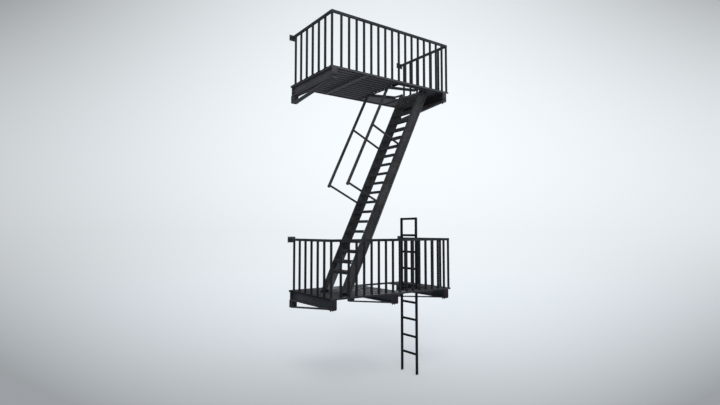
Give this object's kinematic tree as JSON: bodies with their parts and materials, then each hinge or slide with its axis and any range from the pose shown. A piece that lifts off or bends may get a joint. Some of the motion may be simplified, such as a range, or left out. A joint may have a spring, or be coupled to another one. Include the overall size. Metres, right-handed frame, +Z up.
{
  "type": "fire escape stair",
  "caption": "Wall-hung steel fire escape: two railed balconies on brackets, a steep stair between them and a drop ladder to the ground.",
  "frame": {"origin": "on the wall face, at the centre of the lower middle wall shoe", "axes": "+X to the right along the wall seen from outside, +Y into the wall, +Z up"},
  "size_m": [2.691, 1.389, 6.1785],
  "materials": {
    "bracket_paint": "Dark charcoal paint, weathered, with light rust at the joints",
    "deck_steel": "Worn grey-black paint on walked steel flats, dusty, with light rust",
    "rail_paint": "Near-black paint, weathered to a dull sheen",
    "stair_paint": "Charcoal paint, faded and streaked",
    "treads": "Charcoal paint, worn on the nosings",
    "ladder_paint": "Near-black paint, dull"
  },
  "bodies": {
    "root": {"ladder_rails": "ladder_paint", "ladder_rungs": "ladder_paint", "ladder_straps": "ladder_paint", "lower_edge_angle": "deck_steel", "lower_end_balusters": "rail_paint", "lower_front_balusters": "rail_paint", "lower_front_rail": "rail_paint", "lower_front_slat": "deck_steel", "lower_ledger": "bracket_paint", "lower_left_beam": "bracket_paint", "lower_left_rail": "rail_paint", "lower_left_slats": "deck_steel", "lower_middle_beam": "bracket_paint", "lower_rail_wall_plates": "rail_paint", "lower_right_beam": "bracket_paint", "lower_right_rail": "rail_paint", "lower_right_slats": "deck_steel", "lower_struts": "bracket_paint", "lower_trimmers": "bracket_paint", "lower_wall_shoes": "bracket_paint", "stair_front_handrail": "stair_paint", "stair_front_stringer": "stair_paint", "stair_handrail_braces": "stair_paint", "stair_top_cleats": "stair_paint", "stair_treads": "treads", "stair_wall_handrail": "stair_paint", "stair_wall_stringer": "stair_paint", "upper_cross_tie": "bracket_paint", "upper_edge_angle": "deck_steel", "upper_end_balusters": "rail_paint", "upper_front_balusters": "rail_paint", "upper_front_rail": "rail_paint", "upper_front_slat": "deck_steel", "upper_ledger": "bracket_paint", "upper_left_beam": "bracket_paint", "upper_left_rail": "rail_paint", "upper_left_slats": "deck_steel", "upper_rail_wall_plates": "rail_paint", "upper_right_beam": "bracket_paint", "upper_right_rail": "rail_paint", "upper_right_slats": "deck_steel", "upper_side_plate": "deck_steel", "upper_struts": "bracket_paint", "upper_trimmers": "bracket_paint", "upper_wall_shoes": "bracket_paint"}
  },
  "joints": []
}
